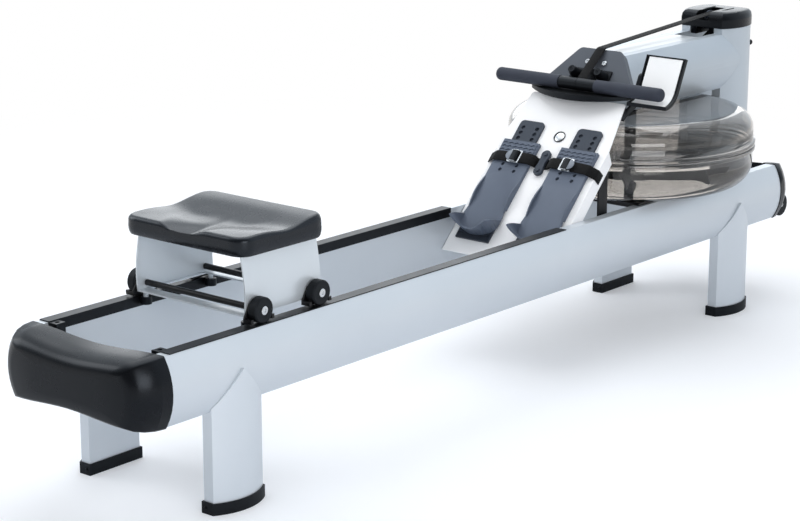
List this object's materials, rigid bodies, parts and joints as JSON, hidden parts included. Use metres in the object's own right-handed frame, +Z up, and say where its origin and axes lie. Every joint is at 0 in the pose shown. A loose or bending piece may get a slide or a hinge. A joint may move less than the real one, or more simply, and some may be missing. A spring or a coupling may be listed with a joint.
{
  "type": "water rowing machine",
  "caption": "Water rowing machine with a rolling seat on two rails, a sloping footboard with sliding heel cups, and a clear tank whose strap runs over a post to the pull handle.",
  "frame": {"origin": "on the floor, at the middle of the machine's own box", "axes": "+X towards the rower's right, where the monitor is, +Y from the seat end to the tank end, +Z up"},
  "size_m": [0.562, 2.1474, 0.6736],
  "materials": {
    "satin_aluminium": "satin silver",
    "white_sheet": "pale silver white paint",
    "silver_sheet": "silver paint",
    "black_plastic": "fine textured black",
    "grey_plastic": "satin blue grey",
    "white_plastic": "satin white",
    "black_rubber": "matt black",
    "seat_foam": "moulded foam with a fine grained skin",
    "black_webbing": "woven",
    "smoke_clear": "clear smoke grey",
    "bright_steel": "bright",
    "black_steel": "black paint"
  },
  "bodies": {
    "frame": {"rail_left": "satin_aluminium", "rail_right": "satin_aluminium", "leg_rear_left": "satin_aluminium", "leg_rear_right": "satin_aluminium", "leg_front_left": "satin_aluminium", "leg_front_right": "satin_aluminium", "foot_pad_rear_left": "black_rubber", "foot_pad_rear_right": "black_rubber", "foot_pad_front_left": "black_rubber", "foot_pad_front_right": "black_rubber", "track_left": "black_plastic", "track_right": "black_plastic", "rear_bumper": "black_plastic", "front_bumper": "black_plastic", "post_plate": "silver_sheet", "tank_cradle_rear": "black_steel", "tank_cradle_front": "black_steel", "post_left": "satin_aluminium", "post_right": "satin_aluminium", "arm_left": "satin_aluminium", "arm_right": "satin_aluminium", "arm_cover": "white_sheet", "post_cap": "black_plastic", "drive_strap": "black_webbing", "tank_upper": "smoke_clear", "tank_lower": "smoke_clear", "tank_seal": "black_rubber", "footboard": "white_sheet", "footboard_brace": "black_steel", "foot_base_left": "grey_plastic", "foot_base_right": "grey_plastic", "foot_strap_left": "black_webbing", "foot_strap_right": "black_webbing", "buckle_left": "bright_steel", "buckle_right": "bright_steel", "strap_anchor": "grey_plastic", "hood": "grey_plastic", "handle_rest": "black_plastic", "monitor_arm": "black_plastic"},
    "seat": {"seat_frame": "silver_sheet", "seat_pad": "seat_foam", "axle_rear": "black_steel", "axle_front": "black_steel"},
    "roller_rear_left": {"wheel_rear_left": "black_rubber"},
    "roller_rear_right": {"wheel_rear_right": "black_rubber"},
    "roller_front_left": {"wheel_front_left": "black_rubber"},
    "roller_front_right": {"wheel_front_right": "black_rubber"},
    "handle": {"handle_bar": "black_steel", "grip_left": "black_rubber", "grip_right": "black_rubber", "handle_clamp": "black_plastic"},
    "pulley": {"strap_pulley": "grey_plastic"},
    "drum": {"drive_drum": "grey_plastic"},
    "rotor": {"paddle": "black_plastic"},
    "heel_left": {"heel_cup_left": "grey_plastic"},
    "heel_right": {"heel_cup_right": "grey_plastic"},
    "monitor": {"monitor": "black_plastic", "monitor_panel": "white_plastic"},
    "transport_left": {"transport_wheel_left": "black_rubber"},
    "transport_right": {"transport_wheel_right": "black_rubber"}
  },
  "joints": [
    {"name": "seat_slide", "type": "slide", "parent": "frame", "child": "seat", "axis": [0, 1, 0], "range_m": [-0.19, 0.68]},
    {"name": "roller_rear_left_spin", "type": "hinge", "parent": "seat", "child": "roller_rear_left", "pos_m": [-0.154, -0.74585, 0.3423], "axis": [1, 0, 0], "continuous": true},
    {"name": "roller_rear_right_spin", "type": "hinge", "parent": "seat", "child": "roller_rear_right", "pos_m": [0.154, -0.74585, 0.3423], "axis": [1, 0, 0], "continuous": true},
    {"name": "roller_front_left_spin", "type": "hinge", "parent": "seat", "child": "roller_front_left", "pos_m": [-0.154, -0.59285, 0.3423], "axis": [1, 0, 0], "continuous": true},
    {"name": "roller_front_right_spin", "type": "hinge", "parent": "seat", "child": "roller_front_right", "pos_m": [0.154, -0.59285, 0.3423], "axis": [1, 0, 0], "continuous": true},
    {"name": "handle_pull", "type": "slide", "parent": "frame", "child": "handle", "axis": [0, -0.9986, 0.0523], "range_m": [0, 1.2], "deforming": ["drive_strap"]},
    {"name": "pulley_spin", "type": "hinge", "parent": "frame", "child": "pulley", "pos_m": [0, 0.98065, 0.6455], "axis": [1, 0, 0], "continuous": true},
    {"name": "drum_spin", "type": "hinge", "parent": "frame", "child": "drum", "pos_m": [0, 0.63865, 0.512], "axis": [0, 0, 1], "continuous": true},
    {"name": "paddle_spin", "type": "hinge", "parent": "frame", "child": "rotor", "pos_m": [0, 0.63865, 0.367], "axis": [0, 0, 1], "continuous": true},
    {"name": "heel_left_slide", "type": "slide", "parent": "frame", "child": "heel_left", "axis": [0, 0.7009, 0.7132], "range_m": [-0.015, 0.043]},
    {"name": "heel_right_slide", "type": "slide", "parent": "frame", "child": "heel_right", "axis": [0, 0.7009, 0.7132], "range_m": [-0.015, 0.043]},
    {"name": "monitor_tilt", "type": "hinge", "parent": "frame", "child": "monitor", "pos_m": [0.15, 0.48317, 0.588], "axis": [1, 0, 0], "range_deg": [-3, 20]},
    {"name": "transport_left_spin", "type": "hinge", "parent": "frame", "child": "transport_left", "pos_m": [-0.154, 1.04665, 0.2115], "axis": [1, 0, 0], "continuous": true},
    {"name": "transport_right_spin", "type": "hinge", "parent": "frame", "child": "transport_right", "pos_m": [0.154, 1.04665, 0.2115], "axis": [1, 0, 0], "continuous": true}
  ],
  "couplings": [
    {"joint": "roller_rear_left_spin", "follows": "seat_slide", "rad_per_m": -41.667},
    {"joint": "roller_rear_right_spin", "follows": "seat_slide", "rad_per_m": -41.667},
    {"joint": "roller_front_left_spin", "follows": "seat_slide", "rad_per_m": -41.667},
    {"joint": "roller_front_right_spin", "follows": "seat_slide", "rad_per_m": -41.667},
    {"joint": "pulley_spin", "follows": "handle_pull", "rad_per_m": 49.261},
    {"joint": "drum_spin", "follows": "handle_pull", "rad_per_m": 43.478}
  ]
}
